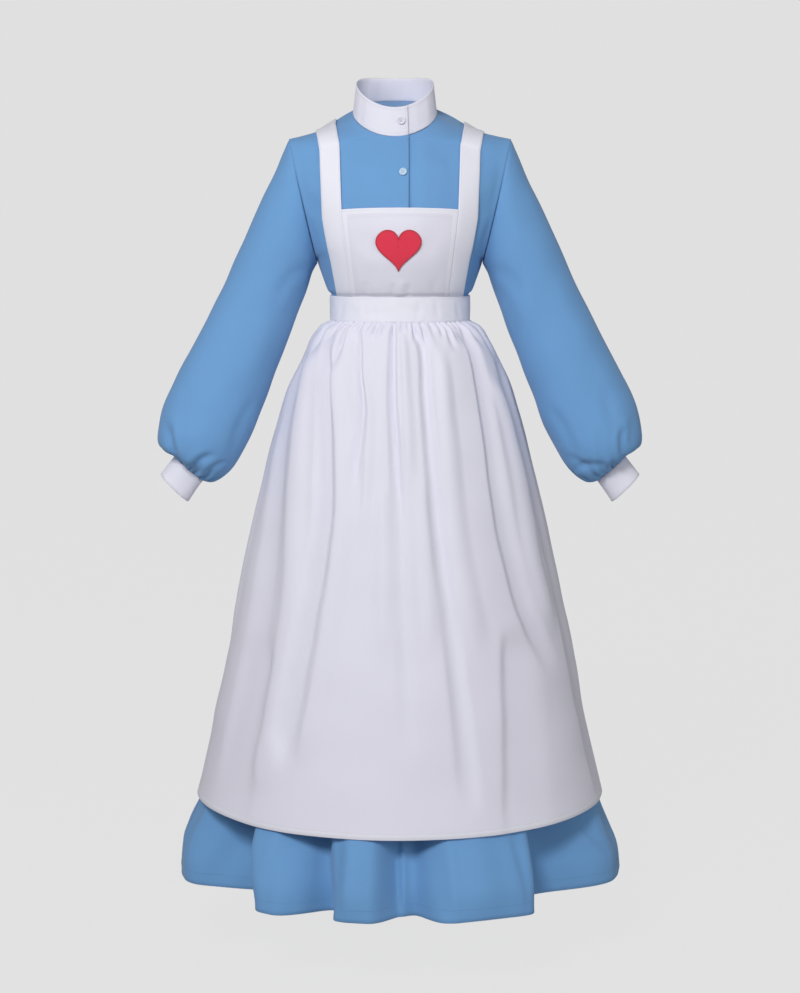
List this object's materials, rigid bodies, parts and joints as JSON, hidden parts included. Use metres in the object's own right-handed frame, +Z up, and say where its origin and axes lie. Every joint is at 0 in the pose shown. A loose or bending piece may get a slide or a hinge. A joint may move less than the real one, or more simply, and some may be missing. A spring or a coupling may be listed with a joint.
{
  "type": "nurse uniform dress with pinafore apron",
  "caption": "Long-sleeved blue dress with a stand collar and full skirt under a white bib apron, filled out and hollow, worn over the body.",
  "frame": {"origin": "midway between the two shoulder seams, where the wearer's shoulders carry the dress", "axes": "+Z up along the body, the front faces -Y, +X towards the wearer's left sleeve"},
  "size_m": [0.8388, 0.6358, 1.4075],
  "materials": {
    "dress_cloth": "plain-woven cotton blend, pressed, faint sheen",
    "apron_cloth": "smooth white cotton, pressed",
    "trim_cloth": "stiffened white cotton of the collar and cuffs",
    "white_button": "polished, white",
    "red_felt": "flat red cloth with a stitched edge",
    "button": "polished, pale blue"
  },
  "bodies": {
    "root": {"bodice_front_right": "dress_cloth", "bodice_front_left": "dress_cloth", "bodice_back": "dress_cloth", "collar": "trim_cloth", "skirt_front": "dress_cloth", "skirt_back": "dress_cloth", "sleeve_right": "dress_cloth", "sleeve_left": "dress_cloth", "cuff_right": "trim_cloth", "cuff_left": "trim_cloth", "button_bodice": "button", "button_collar": "white_button", "apron_bib": "apron_cloth", "applique_heart": "red_felt", "strap_right": "apron_cloth", "strap_left": "apron_cloth", "apron_waistband": "apron_cloth", "apron_skirt": "apron_cloth", "button_waistband": "white_button"}
  },
  "joints": []
}
